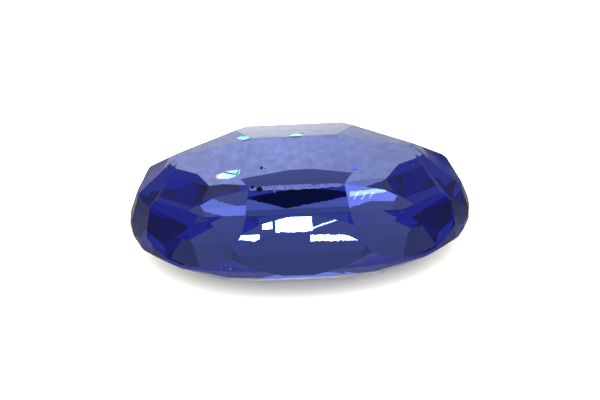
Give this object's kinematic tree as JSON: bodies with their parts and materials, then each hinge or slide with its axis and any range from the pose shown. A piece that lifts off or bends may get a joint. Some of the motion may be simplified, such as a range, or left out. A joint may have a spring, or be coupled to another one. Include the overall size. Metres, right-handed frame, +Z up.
{
  "type": "faceted oval sapphire",
  "caption": "Loose oval-cut blue gemstone with a stepped pavilion, lying on the big flat facet of its crown.",
  "frame": {"origin": "middle of the table, the big flat facet that the stone lies on", "axes": "+Z up from the table to the keel of the pavilion, +X along the stone, +Y across it"},
  "size_m": [0.0078, 0.0048, 0.0031],
  "materials": {
    "blue_sapphire": "polished facets, clear deep blue"
  },
  "bodies": {
    "root": {"sapphire": "blue_sapphire"}
  },
  "joints": []
}
